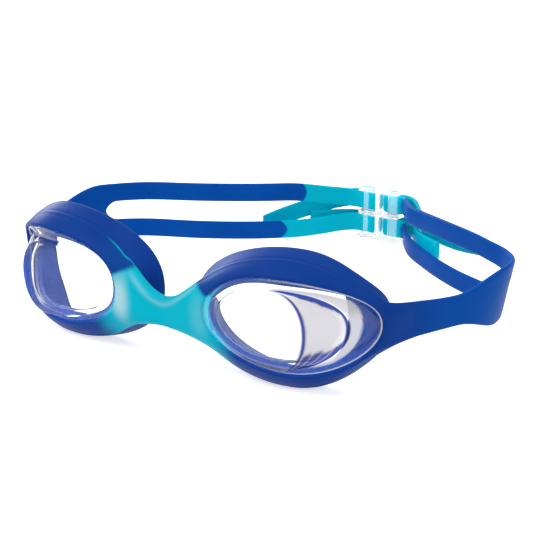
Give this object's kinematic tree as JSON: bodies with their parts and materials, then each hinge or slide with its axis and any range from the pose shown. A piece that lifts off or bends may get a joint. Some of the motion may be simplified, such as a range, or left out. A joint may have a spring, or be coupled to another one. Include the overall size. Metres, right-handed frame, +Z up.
{
  "type": "swim goggles",
  "caption": "Child's swim goggles: clear lens cups in soft silicone eyecups joined by a nose bridge, with a split silicone strap held by a clear rear buckle.",
  "frame": {"origin": "bottom centre of the bounding box, on the surface that the eyecups stand on", "axes": "+X to the wearer's left, -Y the way the lenses look, +Z up"},
  "size_m": [0.1434, 0.1094, 0.0374],
  "materials": {
    "clear_lens": "clear, polished",
    "blue_silicone": "satin silicone",
    "aqua_silicone": "satin silicone",
    "clear_buckle": "clear moulded"
  },
  "bodies": {
    "front": {"left_lens": "clear_lens", "right_lens": "clear_lens", "left_eyecup": "blue_silicone", "right_eyecup": "blue_silicone", "nose_bridge": "aqua_silicone"},
    "strap_loop": {"left_strap": "blue_silicone", "right_strap": "blue_silicone", "left_upper_strap_end": "aqua_silicone", "left_lower_strap_end": "aqua_silicone", "right_upper_strap_end": "aqua_silicone", "right_lower_strap_end": "aqua_silicone"},
    "buckle": {"buckle": "clear_buckle"}
  },
  "joints": [
    {"name": "strap_tilt", "type": "hinge", "parent": "front", "child": "strap_loop", "pos_m": [0, -0.02296, 0.0191], "axis": [1, 0, 0], "range_deg": [-30, 30], "stiffness_Nm_per_rad": 0.1},
    {"name": "buckle_slide", "type": "slide", "parent": "strap_loop", "child": "buckle", "axis": [1, 0, 0], "range_m": [-0.012, 0], "deforming": ["left_upper_strap_end", "left_lower_strap_end", "right_upper_strap_end", "right_lower_strap_end"]}
  ]
}
